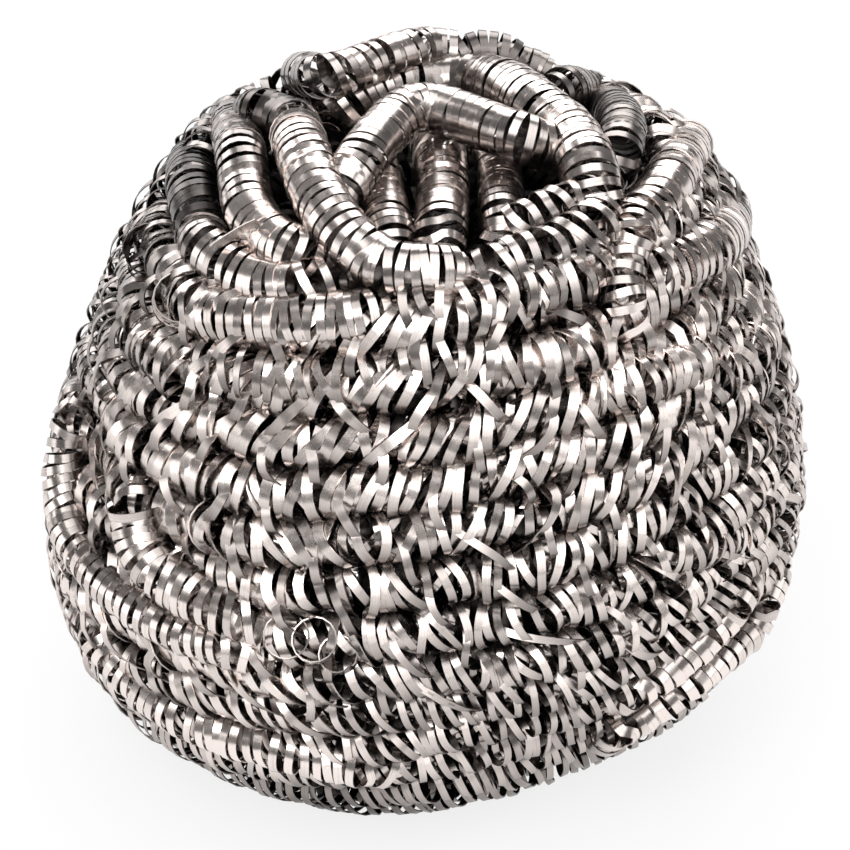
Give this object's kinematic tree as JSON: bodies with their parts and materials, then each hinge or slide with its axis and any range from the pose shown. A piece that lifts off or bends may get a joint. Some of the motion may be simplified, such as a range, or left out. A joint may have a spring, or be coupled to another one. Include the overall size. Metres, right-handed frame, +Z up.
{
  "type": "metal scourer",
  "caption": "Ball-shaped scouring pad of one long coil of flat steel ribbon, wound in rows with a nest of loops at the top.",
  "frame": {"origin": "middle of the flat foot, on the surface that the scourer stands on", "axes": "+Z up through the nest, -Y towards the side that the picture shows in front, +X to its right"},
  "size_m": [0.07, 0.07, 0.063],
  "materials": {
    "steel_ribbon": "bright rolled stainless steel ribbon"
  },
  "bodies": {
    "root": {"scourer": "steel_ribbon"}
  },
  "joints": []
}
